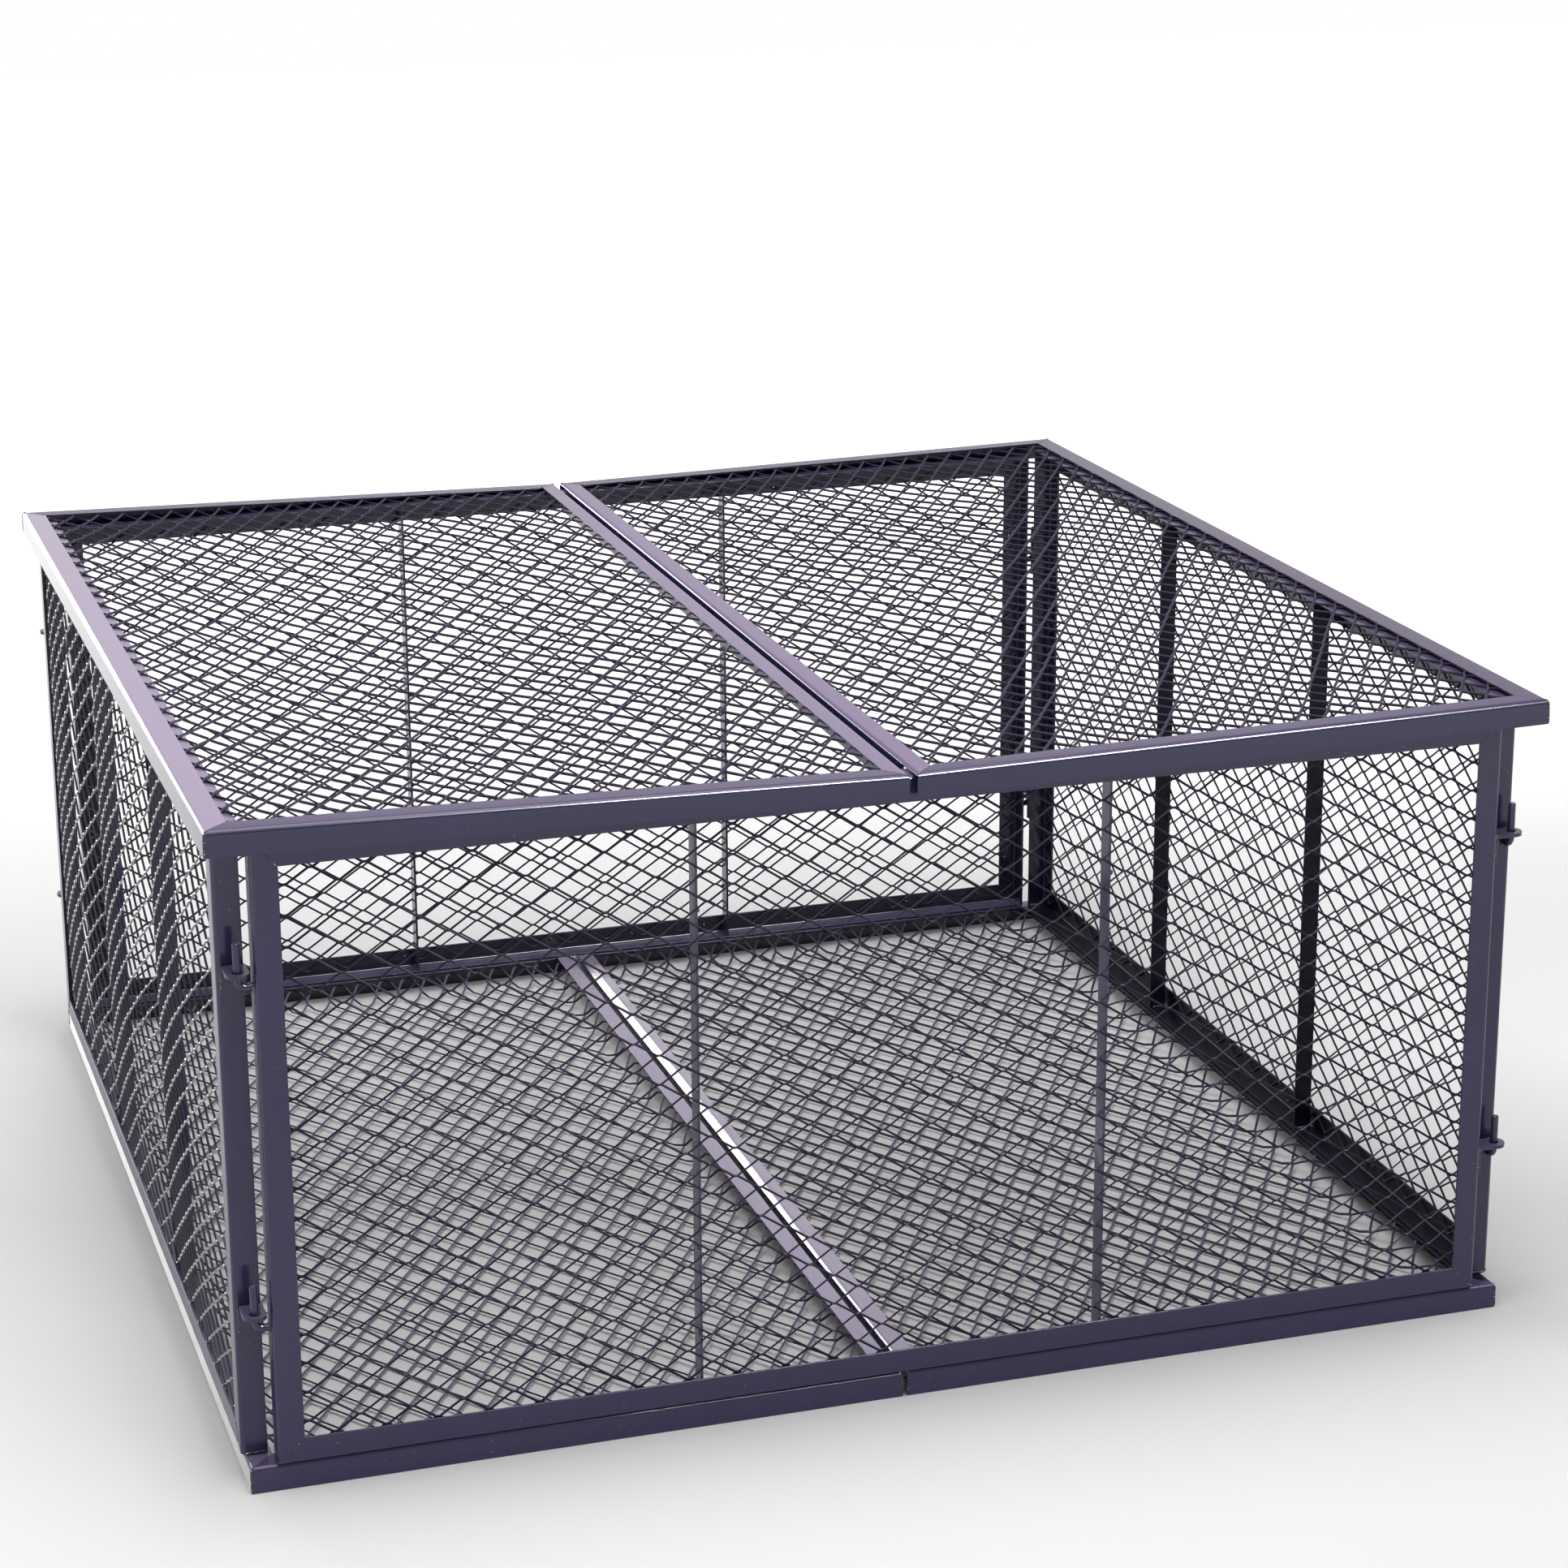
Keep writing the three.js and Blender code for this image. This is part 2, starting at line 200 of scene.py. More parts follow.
# Beads beside the eye plates: their ends from the eyes' heights, how far they stand off the wall's end and the
# plate, and how deep behind the wall's face they may lie
EYE_SPAN = (-19, 2)
EYE_PROUD = 0.6
EYE_BESIDE = 0.1
EYE_LIMIT = 19.6
# The rings round the pins' feet, and how far they stand off the wall's end
PIN_RING = 3.1
PIN_PROUD = 0.3
RING_ANGLES = [2 * math.pi * k / 12 for k in range(13)]
# Beads beside the bars' ends: how far in from the wall's edge and out from the bars' middles, and their depths
BAR_END = 2.7
BAR_SIDE = 1.2
BAR_DEPTHS = (7, 18)
# Tack welds: radii across, deep and up, the rows of their skin and how far it closes
BAR_TACK = (1.9, 1.1, 2.6)
RAIL_TACK = (2.6, 1.2, 1.9)
UPRIGHT_TACK = (1.9, 1.2, 2.6)
TACK_SIZES = (0.75, 1.2)
TACK_LUMPS = 0.06
TACK_ROWS = 5
TACK_CAP = 1.35
# Where the tack welds are: margins at both ends and spacing, insets and depths, and how far they stray
BAR_TACKS = (55, 40, 68.0)
RAIL_TACKS = (45, 30, 78.0)
UPRIGHT_TACKS = (50, 30, 58.0)
TACK_INSET = 13.0
TACK_DEPTH = 2.6
BAR_TACK_DEPTH = 4.4
BAR_STRAY = (-6, 6)
RAIL_STRAY = (-10, 10)
RAIL_STRAY_UP = (-2, 3)
UPRIGHT_STRAY = (-2, 2)
UPRIGHT_STRAY_UP = (-8, 8)

# Seeds of the random draws. A wall adds its turn to its seed, and a left or right half -1 or 1
WALL_NET_SEED = 10
LID_NET_SEED = 20
FLOOR_NET_SEED = 30
WALL_WELD_SEED = 40
FLOOR_WELD_SEED = 60
LID_WELD_SEED = 65


# ------------------------------------------------------------------ shader nodes

def put(nt, socket, value):
    """Links a socket to another node's output, or sets it to a constant."""
    if isinstance(value, bpy.types.NodeSocket):
        nt.links.new(value, socket)
    else:
        socket.default_value = value


def noise(nt, vector, scale, detail, roughness=0.5):
    node = nt.nodes.new("ShaderNodeTexNoise")
    node.inputs["Scale"].default_value = scale
    node.inputs["Detail"].default_value = detail
    node.inputs["Roughness"].default_value = roughness
    nt.links.new(vector, node.inputs["Vector"])
    return node.outputs["Fac"]


def ranged(nt, value, low, high, to_low=0.0, to_high=1.0, smooth=False):
    """Maps the range from low to high to another range, and holds its ends beyond."""
    node = nt.nodes.new("ShaderNodeMapRange")
    node.interpolation_type = "SMOOTHSTEP" if smooth else "LINEAR"
    for name, number in (("From Min", low), ("From Max", high), ("To Min", to_low), ("To Max", to_high)):
        node.inputs[name].default_value = number
    nt.links.new(value, node.inputs["Value"])
    return node.outputs["Result"]


def maths(nt, operation, *values, clamp=False):
    node = nt.nodes.new("ShaderNodeMath")
    node.operation = operation
    node.use_clamp = clamp
    for socket, value in zip(node.inputs, values):
        put(nt, socket, value)
    return node.outputs[0]


def vector_maths(nt, operation, *values):
    node = nt.nodes.new("ShaderNodeVectorMath")
    node.operation = operation
    for socket, value in zip(node.inputs, values):
        put(nt, socket, value)
    return node.outputs["Value" if operation in ("DOT_PRODUCT", "LENGTH") else "Vector"]


def scaled(nt, vector, factor):
    node = nt.nodes.new("ShaderNodeVectorMath")
    node.operation = "SCALE"
    nt.links.new(vector, node.inputs["Vector"])
    nt.links.new(factor, node.inputs["Scale"])
    return node.outputs["Vector"]


def mixed(nt, kind, share, first, second):
    """Mixes two colours, vectors or numbers."""
    node = nt.nodes.new("ShaderNodeMix")
    node.data_type = kind
    put(nt, node.inputs["Factor"], share)
    put(nt, node.inputs["A"], first)
    put(nt, node.inputs["B"], second)
    return node.outputs["Result"]


def axes_of(nt, vector):
    node = nt.nodes.new("ShaderNodeSeparateXYZ")
    nt.links.new(vector, node.inputs["Vector"])
    return node.outputs


def surface_output(nt, name):
    return nt.nodes.new("ShaderNodeNewGeometry").outputs[name]


def viewing_rays(nt):
    """Two outputs: whether a ray comes from the camera, and whether it comes from a mirror or through glass."""
    rays = nt.nodes.new("ShaderNodeLightPath").outputs
    return rays["Is Camera Ray"], maths(nt, "ADD", rays["Is Glossy Ray"], rays["Is Transmission Ray"])


# ------------------------------------------------------------------ materials

# Noise in the paint: its scale per metre, its detail and for the patches its roughness
PATCHES = (9.0, 5.0, 0.6)
PATCH_STOPS = (0.25, 0.75)
SPECKS = (640.0, 2.0)
SPECK_BLUR = 0.05
SMEARS = (26.0, 4.0)
SMEAR_DEPTH = 0.06
PEEL_DETAIL = 3.0
PEEL_DISTANCE = 0.0004
COAT_ROUGHNESS = 0.08
# How far a face looks up where the painted sheen begins, and where it is full
TOP_SHEEN_SPAN = (0.55, 0.98)
# How far a face looks toward the middle of the bin where its painted shade is darkest, and where it keeps its colour
INWARD = (-0.6, -0.3)
# Product of the normal's X and Y on the strands that run to the back right, which get a painted sheen
RIGHTWARD = (-0.02, -0.06)
# The lit edge of the right floor half's centre rail, in metres: it widens from the front to past the middle,
# ends softly and lies on the rail's top. TOWARD_GAP is the way that its normal turns
EDGE_ALONG = (-0.49, 0.05)
EDGE_WIDTHS = (0.002, 0.0105)
EDGE_BLUR = 0.0025
EDGE_HEIGHTS = (0.0182, 0.0192)
TOWARD_GAP = (-0.70, 0.0, 0.71)


def patched(nt, coord, colour, second):
    """Wide soft patches of two tones."""
    ramp = nt.nodes.new("ShaderNodeValToRGB")
    for element, place, tone in zip(ramp.color_ramp.elements, PATCH_STOPS, (colour, second)):
        element.position = place
        element.color = (*tone, 1)
    nt.links.new(noise(nt, coord, *PATCHES), ramp.inputs["Fac"])
    return ramp.outputs["Color"]


def sheen_on_top(nt, colour_socket, sheen_colour, amount):
    """Mixes a painted sheen into the colour on faces that look up."""
    up = ranged(nt, axes_of(nt, surface_output(nt, "Normal"))["Z"], *TOP_SHEEN_SPAN, 0.0, amount)
    return mixed(nt, "RGBA", up, colour_socket, (*sheen_colour, 1))


def shade_inside(nt, colour_socket, share):
    """Paints shade: darkens the faces that look toward the middle of the bin to a share of their colour."""
    level = vector_maths(nt, "MULTIPLY", surface_output(nt, "Position"), (1, 1, 0))
    outward = vector_maths(nt, "NORMALIZE", level)
    facing = vector_maths(nt, "DOT_PRODUCT", surface_output(nt, "Normal"), outward)
    return scaled(nt, colour_socket, ranged(nt, facing, *INWARD, share, 1.0))


def sheen_on_strands(nt, colour_socket, colour):
    """Paints a sheen on the strands that run to the back right, as if they caught the light."""
    facing = axes_of(nt, surface_output(nt, "Normal"))
    family = ranged(nt, maths(nt, "MULTIPLY", facing["X"], facing["Y"]), *RIGHTWARD)
    return mixed(nt, "RGBA", family, colour_socket, (*colour, 1))


def specked(nt, coord, colour_socket, speck):
    """Scatters grains of dust where a fine noise is higher than speck."""
    grains = ranged(nt, noise(nt, coord, *SPECKS), speck, speck + SPECK_BLUR)
    return mixed(nt, "RGBA", grains, colour_socket, (*DUST, 1))


def rounded_edge(nt, normal):
    """Turns the normal toward the gap along the rail's edge, so that the edge catches the light."""
    place = axes_of(nt, surface_output(nt, "Position"))
    width = ranged(nt, place["Y"], *EDGE_ALONG, *EDGE_WIDTHS, smooth=True)
    inside = ranged(nt, maths(nt, "SUBTRACT", width, place["X"]), -EDGE_BLUR, EDGE_BLUR, smooth=True)
    share = maths(nt, "MULTIPLY", inside, ranged(nt, place["Z"], *EDGE_HEIGHTS))
    return vector_maths(nt, "NORMALIZE", mixed(nt, "VECTOR", share, normal, TOWARD_GAP))


SLATE = (0.029, 0.0245, 0.088)
SLATE_DARK = (0.025, 0.0215, 0.076)
# LILAC, PALE_LILAC and DUSK colour the painted sheen on faces that look up, and DUST the grains of dust
LILAC = (0.28, 0.22, 0.36)
PALE_LILAC = (0.52, 0.44, 0.62)
DUSK = (0.20, 0.13, 0.27)
DUST = (0.62, 0.60, 0.66)


def paint(name, colour=SLATE, second=SLATE_DARK, top_sheen=0.25, rough=0.25, speck=0.76, peel=0.18, peel_scale=260.0,
          lean=None, coat=0.3, bright=1.42, sheen_colour=LILAC, inside=0.35, lit_edge=False, strand_sheen=None):
    """Painted steel, with a painted sheen of a given colour and share on faces that look up, and a painted shade on
    faces toward the middle of the bin, which keep the share inside of their colour. bright is the index of refraction.
    lean tips the normal, as on a warped flange, and a strand colour, where given, is a painted sheen on the strands
    that run to the back right."""
    mat = bpy.data.materials.new(name)
    mat.use_nodes = True
    nt = mat.node_tree
    nt.nodes.clear()
    out = nt.nodes.new("ShaderNodeOutputMaterial")
    bsdf = nt.nodes.new("ShaderNodeBsdfPrincipled")
    nt.links.new(bsdf.outputs[0], out.inputs[0])
    bsdf.inputs["Coat Weight"].default_value = coat
    bsdf.inputs["Coat Roughness"].default_value = COAT_ROUGHNESS
    bsdf.inputs["IOR"].default_value = bright
    coord = nt.nodes.new("ShaderNodeTexCoord").outputs["Object"]

    tone = patched(nt, coord, colour, second)
    # Painted sheen on faces that look up
    tone = sheen_on_top(nt, tone, sheen_colour, top_sheen)
    # Painted shade on faces that look toward the middle of the bin
    tone = shade_inside(nt, tone, inside)
    # Painted sheen on the strands that run to the back right
    if strand_sheen is not None:
        tone = sheen_on_strands(nt, tone, strand_sheen)
    nt.links.new(specked(nt, coord, tone, speck), bsdf.inputs["Base Color"])

    smears = noise(nt, coord, *SMEARS)
    nt.links.new(ranged(nt, smears, 0.0, 1.0, rough - SMEAR_DEPTH, rough + SMEAR_DEPTH), bsdf.inputs["Roughness"])

    bump = nt.nodes.new("ShaderNodeBump")
    bump.inputs["Strength"].default_value = peel
    bump.inputs["Distance"].default_value = PEEL_DISTANCE
    nt.links.new(noise(nt, coord, peel_scale, PEEL_DETAIL), bump.inputs["Height"])
    if lean is not None:
        normal = vector_maths(nt, "NORMALIZE", vector_maths(nt, "ADD", surface_output(nt, "Normal"), lean))
        if lit_edge:
            normal = rounded_edge(nt, normal)
        nt.links.new(normal, bump.inputs["Normal"])
    nt.links.new(bump.outputs["Normal"], bsdf.inputs["Normal"])
    return mat


NET_LOOK = dict(colour=(0.016, 0.010, 0.036), second=(0.012, 0.008, 0.027), top_sheen=0.12, rough=0.50, speck=0.82,
                peel=0.35, peel_scale=600.0, coat=0.0, bright=1.27, inside=1.0)
# Copies of one paint for different parts, with more or less painted sheen on top and a sheen colour of their own, as
# the light falls on each part
PAINT_LOOKS = {
    "frame_paint": dict(),
    "side_paint": dict(top_sheen=0.7),
    "left_paint": dict(top_sheen=0.9, coat=0.8, bright=1.5, lean=(0.0, -0.08, 0.33), sheen_colour=(0.28, 0.19, 0.35)),
    "left_tray_paint": dict(top_sheen=0.6, rough=0.2, peel=0.06, coat=0.8, bright=1.5, lean=(0.0, 0.0, 1.9)),
    "centre_paint": dict(top_sheen=0.75, lean=(0.0, -0.06, 0.0), sheen_colour=(0.25, 0.17, 0.32)),
    # A lighter, more lilac base: painted sheen on the front wall's bars
    "bar_paint": dict(colour=(0.075, 0.055, 0.125), second=(0.060, 0.044, 0.105), top_sheen=0.4, bright=1.40),
    "right_paint": dict(sheen_colour=(0.22, 0.13, 0.24), lean=(0.0, -0.08, 0.0)),
    "front_paint": dict(top_sheen=0.3, sheen_colour=DUSK, lean=(0.0, -0.08, 0.0)),
    "tray_paint": dict(top_sheen=0.7, lean=(0.0, 0.06, 0.0), sheen_colour=PALE_LILAC),
    "edge_paint": dict(top_sheen=0.75, rough=0.18, peel=0.03, lean=(0.0, 0.06, 0.0), coat=1.0, bright=1.7,
                       sheen_colour=(0.46, 0.38, 0.56), lit_edge=True),
    # A lighter base: painted light on the floor halves' front rails
    "tray_front_paint": dict(colour=(0.041, 0.032, 0.108), second=(0.036, 0.029, 0.094), top_sheen=0.3, sheen_colour=DUSK,
                             lean=(0.0, -0.08, 0.0)),
    # A near-black base: painted shade on the parts that lie in shadow
    "shade_paint": dict(colour=(0.008, 0.0065, 0.018), second=(0.006, 0.005, 0.013), top_sheen=0.0, rough=0.35,
                        coat=0.0, bright=1.27),
    "net_paint": NET_LOOK,
    # Painted sheen on the nets' strands that run to the back right
    "floor_net_paint": dict(NET_LOOK, strand_sheen=(0.16, 0.115, 0.205)),
    "lid_net_paint": dict(NET_LOOK, strand_sheen=(0.07, 0.052, 0.10)),
    "glint_net_paint": dict(NET_LOOK, colour=(0.012, 0.009, 0.026), second=(0.008, 0.006, 0.020), top_sheen=0.2,
                            rough=0.22, speck=0.76, coat=1.0, bright=1.35),
    "weld_paint": dict(colour=(0.020, 0.018, 0.045), second=(0.050, 0.045, 0.080), top_sheen=0.3, rough=0.26,
                       speck=0.64, peel=0.8, peel_scale=900.0),
    "hinge_paint": dict(colour=(0.022, 0.020, 0.050), top_sheen=0.3, rough=0.30),
}
PAINT = {name: paint(name, **look) for name, look in PAINT_LOOKS.items()}


# ------------------------------------------------------------------ CAD nodes: soft edges and paint

def node_group(name):
    group = bpy.data.node_groups.new(name, "GeometryNodeTree")
    group.interface.new_socket("Geometry", in_out="INPUT", socket_type="NodeSocketGeometry")
    group.interface.new_socket("Geometry", in_out="OUTPUT", socket_type="NodeSocketGeometry")
    return group, group.nodes.new("NodeGroupInput"), group.nodes.new("NodeGroupOutput")


def merge_group():
    """Makes the corners that faces share into one."""
    group, start, end = node_group("merge_corners")
    merge = group.nodes.new("GeometryNodeMergeByDistance")
    merge.inputs["Distance"].default_value = MERGE_DISTANCE * MM
    group.links.new(start.outputs[0], merge.inputs["Geometry"])
    group.links.new(merge.outputs["Geometry"], end.inputs[0])
    return group


def smooth_group():
    """Shades all faces smooth and keeps the edges sharp that bend more than SHARP_BEND."""
    group, start, end = node_group("smooth_bends")
    faces = group.nodes.new("GeometryNodeSetShadeSmooth")
    faces.domain = "FACE"
    soft = group.nodes.new("GeometryNodeSetShadeSmooth")
    soft.domain = "EDGE"
    hard = group.nodes.new("GeometryNodeSetShadeSmooth")
    hard.domain = "EDGE"
    hard.inputs["Shade Smooth"].default_value = False
    fold = group.nodes.new("GeometryNodeInputMeshEdgeAngle")
    test = group.nodes.new("FunctionNodeCompare")
    test.data_type = "FLOAT"
    test.operation = "GREATER_THAN"
    test.inputs[1].default_value = SHARP_BEND
    group.links.new(fold.outputs["Unsigned Angle"], test.inputs[0])
    group.links.new(start.outputs[0], faces.inputs["Geometry"])
    group.links.new(faces.outputs[0], soft.inputs["Geometry"])
    group.links.new(soft.outputs[0], hard.inputs["Geometry"])
    group.links.new(test.outputs["Result"], hard.inputs["Selection"])
    group.links.new(hard.outputs[0], end.inputs[0])
    return group


MERGE = merge_group()
SMOOTH = smooth_group()


def soften(obj):
    """Rounds a solid's edges a little, without a change to its own mesh."""
    obj.modifiers.new("merge_corners", "NODES").node_group = MERGE
    bevel = obj.modifiers.new("soft_edges", "BEVEL")
    bevel.width = EDGE_SOFTNESS * MM
    bevel.segments = 2
    bevel.limit_method = "ANGLE"
    bevel.angle_limit = SHARP_BEND
    bevel.use_clamp_overlap = True
    obj.modifiers.new("smooth_bends", "NODES").node_group = SMOOTH
    obj.modifiers.new("flat_faces", "WEIGHTED_NORMAL").keep_sharp = True


# Paints of single nodes: painted shade on parts in shadow, and more or less painted sheen or painted light on others,
# as the light falls on each
NODE_PAINTS = {
    "left_wall_top_rail": "side_paint",
    "right_wall_bottom_rail": "shade_paint",
    "right_wall_bar_1": "shade_paint",
    "right_wall_bar_2": "shade_paint",
    "front_wall_bar_1": "bar_paint",
    "front_wall_bar_2": "bar_paint",
    "lid_left_outer_rail": "left_paint",
    "lid_left_centre_rail": "centre_paint",
    "lid_right_centre_rail": "centre_paint",
    "lid_right_outer_rail": "right_paint",
    "floor_left_outer_rail": "left_tray_paint",
    "floor_left_centre_rail": "tray_paint",
    "floor_right_centre_rail": "edge_paint",
    "floor_right_outer_rail": "shade_paint",
    "floor_left_front_rail": "tray_front_paint",
    "floor_right_front_rail": "tray_front_paint",
}


def node_paint(name):
    """The paint of a CAD node, first by its own name and then by its kind."""
    if name in NODE_PAINTS:
        return PAINT[NODE_PAINTS[name]]
    if name.endswith("_eye"):
        return PAINT["hinge_paint"]
    if name.startswith(("lid_", "floor_")):
        return PAINT["front_paint"]
    return PAINT["frame_paint"]


for name, obj in frame["nodes"].items():
    if name.endswith("_mesh"):
        continue
    soften(obj)
    for slot in obj.material_slots:
        slot.material = node_paint(name)


# ------------------------------------------------------------------ expanded metal

def unit_rows(vectors):
    return vectors / np.linalg.norm(vectors, axis=1)[:, None]


def ease(x):
    x = np.clip(x, 0, 1)
    return x * x * (3 - 2 * x)


def zigzag(u, phase):
    """Height of a strand along the long way, from -1 to 1. It is flat at the bonds and bends softly beside them."""
    half = LONG_WAY / 2
    s = np.mod(u / LONG_WAY + phase, 1.0) * LONG_WAY
    s = np.where(s > half, LONG_WAY - s, s)
    run = np.clip((s - BOND) / (half - 2 * BOND), 0, 1)
    fall = np.where(run < BEND, run * run / (2 * BEND), run - BEND / 2)
    fall = np.where(run > 1 - BEND, 1 - BEND - (1 - run) ** 2 / (2 * BEND), fall)
    return 1 - 2 * np.clip(fall / (1 - BEND), 0, 1)


def strand_stations(u0, u1, phase):
    """Places along a strand where its path has corners."""
    half = LONG_WAY / 2
    first = math.floor((u0 / LONG_WAY + phase) * 2) - 1
    last = math.ceil((u1 / LONG_WAY + phase) * 2) + 1
    offsets = np.array([-BOND + CORNER_INSIDE, BOND - CORNER_INSIDE, BOND + CORNER_PAST, half / 2,
                        half - BOND - CORNER_PAST])
    stations = np.concatenate([(k / 2 - phase) * LONG_WAY + offsets for k in range(first, last + 1)])
    stations = stations[(stations > u0) & (stations < u1)]
    return np.concatenate([[u0], stations, [u1]])


def net_arrays(span_u, span_v, start, surface, tilt_at, seed, stout):
    """Corners and faces of one expanded sheet, with u along its diamonds' long way. surface(u, v) is its height
    and tilt_at(u, v) its strands' tilt."""
    rng = np.random.default_rng(seed)
    pitch = SHORT_WAY / 2
    reach = LAP * STRAND / 2
    first = math.ceil((span_v[0] - start[1] + SHORT_WAY / 4) / pitch)
    last = math.floor((span_v[1] - start[1] - SHORT_WAY / 4) / pitch)
    corners = []
    faces = []
    base = 0
    for i in range(first, last + 1):
        phase = start[0] / LONG_WAY + (0.5 if i % 2 else 0.0)
        u = strand_stations(span_u[0], span_u[1], phase)
        wave = zigzag(u, phase)
        middle = start[1] + i * pitch
        tilt = tilt_at(u, middle + 0 * u)
        v = middle + wave * (SHORT_WAY / 4 - reach * np.cos(tilt))
        v = v + rng.normal(0, SCATTER) + SWAY * np.sin(u / SWAY_LENGTH + i)
        path = np.stack([u, v, surface(u, v) - wave * reach * np.sin(tilt)], 1)
        run = unit_rows(np.gradient(path, axis=0))
        wide = np.stack([0 * u, np.cos(tilt), np.sin(tilt)], 1)
        wide = unit_rows(wide - run * np.sum(run * wide, 1)[:, None])
        thin = np.cross(run, wide)
        ring = [path + wide * (a * stout * STRAND / 2) + thin * (b * stout * GAUGE / 2)
                for a, b in ((-1, -1), (1, -1), (1, 1), (-1, 1))]
        corners.append(np.stack(ring, 1).reshape(-1, 3))
        at = base + 4 * np.arange(len(u) - 1)
        for side in range(4):
            other = (side + 1) % 4
            faces.append(np.stack([at + side, at + 4 + side, at + 4 + other, at + other], 1))
        end = base + 4 * (len(u) - 1)
        faces.append(np.array([[base, base + 1, base + 2, base + 3]]))
        faces.append(np.array([[end + 3, end + 2, end + 1, end]]))
        base += 4 * len(u)
    return np.concatenate(corners), np.concatenate(faces)


def mesh_object(name, corners, faces, material, smooth=False):
    """A new object from corners in millimetres and faces with one number of sides."""
    faces = np.asarray(faces, dtype=np.int32)
    count, size = faces.shape
    mesh = bpy.data.meshes.new(name)
    mesh.vertices.add(len(corners))
    mesh.vertices.foreach_set("co", (np.asarray(corners) * MM).astype(np.float32).ravel())
    mesh.loops.add(faces.size)
    mesh.loops.foreach_set("vertex_index", faces.ravel())
    mesh.polygons.add(count)
    mesh.polygons.foreach_set("loop_start", np.arange(0, faces.size, size, dtype=np.int32))
    mesh.polygons.foreach_set("loop_total", np.full(count, size, dtype=np.int32))
    mesh.polygons.foreach_set("use_smooth", np.full(count, smooth))
    mesh.update(calc_edges=True)
    mesh.validate()
    mesh.materials.append(material)
    obj = bpy.data.objects.new(name, mesh)
    bpy.context.scene.collection.objects.link(obj)
    return obj


def add_net(name, body, corners, faces, steel):
    """The fine net of a panel, in the place of the CAD model's flat one."""
    obj = mesh_object(name + "_net", corners, faces, steel)
    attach(obj, body)
    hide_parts(name + "_mesh")


def shares(u, v, span_u, span_v):
    """How far a place lies across a window both ways, from 0 to 1."""
    a = np.clip((u - span_u[0]) / (span_u[1] - span_u[0]), 0, 1)
    b = np.clip((v - span_v[0]) / (span_v[1] - span_v[0]), 0, 1)
    return a, b


def edge_distance(u, v, span_u, span_v):
    du = np.minimum(u - span_u[0], span_u[1] - u)
    dv = np.minimum(v - span_v[0], span_v[1] - v)
    return np.minimum(du, dv)


def rippled(angles, a, b):
    return np.sin(angles[0] * a + angles[1] * b)


def tilting(tilt, window_u, window_v, sign=1):
    """The strands' tilt as a function of the place."""
    full, at_frame, more = tilt
    return lambda u, v: sign * full * (at_frame + more * ease(edge_distance(u, v, window_u, window_v) / TILT_EASE))


def turned(points, quarter_turns):
    """Points of the front wall turned to another wall's side."""
    c, s = ((1, 0), (0, 1), (-1, 0), (0, -1))[quarter_turns]
    x, y, z = points.T
    return np.stack([c * x - s * y, s * x + c * y, z], 1)


def wall_net(wall):
    turn = WALL_TURN[wall]
    span_u = (WALL_SPAN[0] + NET_INSET, WALL_SPAN[1] - NET_INSET)
    span_v = (WALL_BOTTOM + NET_INSET, WALL_TOP[wall] - NET_INSET)
    window_u = (WALL_SPAN[0] + FLANGE, WALL_SPAN[1] - FLANGE)
    window_v = (WALL_BOTTOM + FLANGE, WALL_TOP[wall] - FLANGE)

    def surface(u, v):
        a, b = shares(u, v, window_u, window_v)
        bays = np.abs(np.sin(WALL_BAYS * math.pi * a)) ** BULGE_POWERS[0]
        return WALL_BULGE[wall] * bays * np.sin(math.pi * b) ** BULGE_POWERS[1]

    start = (WALL_NET_START[0], WALL_BOTTOM + WALL_NET_START[1])
    tilt_at = tilting(WALL_NET_TILT, window_u, window_v)
    corners, faces = net_arrays(span_u, span_v, start, surface, tilt_at, WALL_NET_SEED + turn, WALL_NET_STOUT)
    u, v, height = corners.T
    placed = np.stack([u, -WALL_FACE + SHEET + WALL_NET_DEPTH - height, v], 1)
    steel = "glint_net_paint" if wall == "left_wall" else "net_paint"
    add_net(wall, wall, turned(placed, turn), faces, PAINT[steel])


for wall in WALL_TURN:
    wall_net(wall)


def lid_place(side, out, along, height):
    """Places in a lid half: out from the bin's centre line, along its depth, and in height above the half's top."""
    x = out - LID_REST_X
    z = height + LID_REST_DEPTH
    c, s = math.cos(LID_TILT), math.sin(LID_TILT)
    return np.stack([side * (LID_REST_X + x * c - z * s), along, LID_REST_Z + x * s + z * c], 1)


def floor_place(side, out, along, height):
    """Places in a floor half, by the same measures."""
    return np.stack([side * out, along, FLOOR_TOP + height], 1)


def cover_spans(half, gap):
    """What the net of a lid or floor half covers, and the window in its frame, both along and out."""
    span_u = (-half + NET_INSET, half - NET_INSET)
    span_v = (gap / 2 + NET_INSET, half - NET_INSET)
    window_u = (-half + FLANGE, half - FLANGE)
    window_v = (gap / 2 + CENTRE_FLANGE, half - FLANGE)
    return span_u, span_v, window_u, window_v


def facing_up(faces, side):
    """The left half mirrors the right one, so its faces run the other way round."""
    return faces[:, ::-1] if side < 0 else faces


